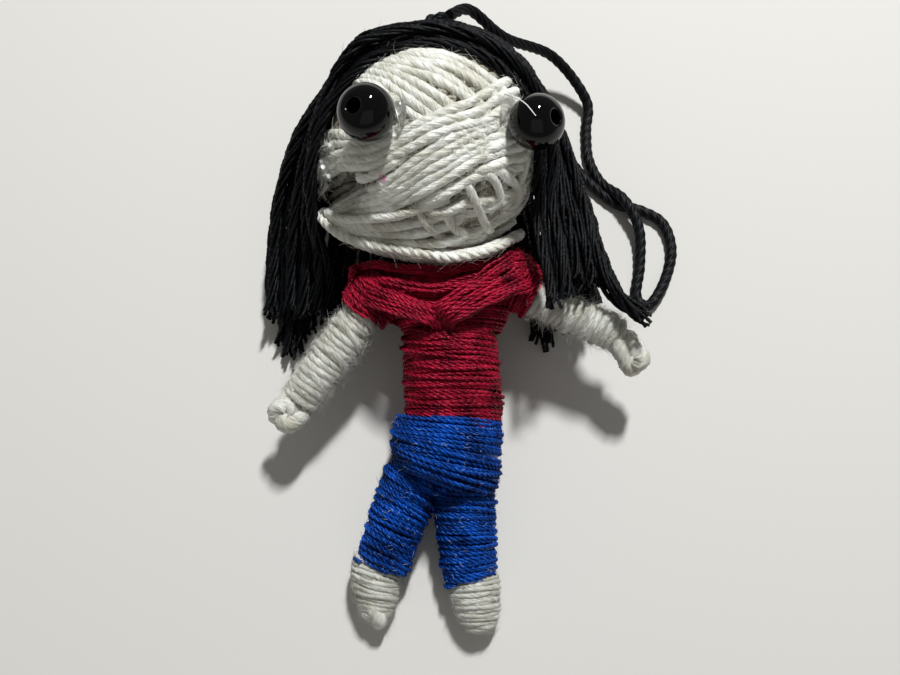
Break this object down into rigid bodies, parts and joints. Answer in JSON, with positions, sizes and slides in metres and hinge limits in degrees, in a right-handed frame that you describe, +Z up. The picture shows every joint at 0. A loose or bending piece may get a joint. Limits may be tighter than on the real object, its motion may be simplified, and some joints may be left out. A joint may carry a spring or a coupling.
{
  "type": "yarn doll",
  "caption": "Small bendable doll wound in yarn over a pipe-cleaner armature, lying on its back, with bead eyes, floss hair and a hanging loop at the crown.",
  "frame": {"origin": "on the table under the centre of the head, where the flattened hair rests", "axes": "+Z up out of the table, +X to the picture's right, +Y from the feet towards the crown"},
  "size_m": [0.0447, 0.0631, 0.0266],
  "materials": {
    "yarn_cream": "soft two-ply yarn, matt",
    "thread_crimson": "stranded cotton, slight sheen",
    "thread_blue": "stranded cotton, slight sheen",
    "floss_black": "stranded cotton floss, slight sheen",
    "bead_black": "polished",
    "glue_clear": "clear",
    "pipe_cleaner": "short nap on wire"
  },
  "bodies": {
    "torso": {"shirt_winding": "thread_crimson", "torso_padding": "thread_crimson", "spine_pipe_cleaner": "pipe_cleaner", "shirt_yoke": "thread_crimson", "shirt_cross_left": "thread_crimson", "shirt_cross_right": "thread_crimson", "trouser_hip_winding": "thread_blue", "hip_padding": "thread_blue"},
    "head": {"head_padding": "yarn_cream", "head_winding": "yarn_cream", "chin_strand": "yarn_cream", "eye_bead_left": "bead_black", "eye_bead_right": "bead_black", "eye_glue_left": "glue_clear", "eye_glue_right": "glue_clear", "hair_lock_1": "floss_black", "hair_lock_2": "floss_black", "hair_lock_3": "floss_black", "hair_lock_4": "floss_black", "hair_lock_5": "floss_black", "hair_lock_6": "floss_black", "hair_lock_7": "floss_black", "hair_lock_8": "floss_black", "hair_outer_lock_1": "floss_black", "hair_outer_lock_2": "floss_black", "hair_mat": "floss_black", "cord_knot": "floss_black", "hanging_cord": "floss_black"},
    "arm_left": {"arm_left_pipe_cleaner": "pipe_cleaner", "arm_left_winding": "yarn_cream", "sleeve_left_winding": "thread_crimson", "sleeve_left_padding": "thread_crimson", "hand_left": "yarn_cream"},
    "leg_left": {"leg_left_pipe_cleaner": "pipe_cleaner", "trouser_leg_left_winding": "thread_blue", "leg_left_padding": "thread_blue", "foot_left_winding": "yarn_cream", "foot_left_padding": "yarn_cream"},
    "arm_right": {"arm_right_pipe_cleaner": "pipe_cleaner", "arm_right_winding": "yarn_cream", "sleeve_right_winding": "thread_crimson", "sleeve_right_padding": "thread_crimson", "hand_right": "yarn_cream"},
    "leg_right": {"leg_right_pipe_cleaner": "pipe_cleaner", "trouser_leg_right_winding": "thread_blue", "leg_right_padding": "thread_blue", "foot_right_winding": "yarn_cream", "foot_right_padding": "yarn_cream"}
  },
  "joints": [
    {"name": "neck_nod", "type": "hinge", "parent": "torso", "child": "head", "pos_m": [0.0006, -0.01078, 0.00997], "axis": [1, 0, 0], "range_deg": [-12, 12], "deforming": ["hair_lock_1", "hair_lock_2", "hair_lock_3", "hair_lock_4", "hair_lock_5", "hair_lock_6", "hair_lock_7", "hair_lock_8", "hair_outer_lock_1", "hair_outer_lock_2"]},
    {"name": "shoulder_left_bend", "type": "hinge", "parent": "torso", "child": "arm_left", "pos_m": [-0.0058, -0.01428, 0.00912], "axis": [0, 0.2368, -0.9715], "range_deg": [-20, 45]},
    {"name": "shoulder_right_bend", "type": "hinge", "parent": "torso", "child": "arm_right", "pos_m": [0.0077, -0.01292, 0.00945], "axis": [0, -0.2368, 0.9715], "range_deg": [-30, 15]},
    {"name": "hip_left_bend", "type": "hinge", "parent": "torso", "child": "leg_left", "pos_m": [-0.0024, -0.03235, 0.00471], "axis": [0, 0.2368, -0.9715], "range_deg": [-10, 25]},
    {"name": "hip_right_bend", "type": "hinge", "parent": "torso", "child": "leg_right", "pos_m": [0.0034, -0.03235, 0.00471], "axis": [0, -0.2368, 0.9715], "range_deg": [-6, 30]}
  ]
}
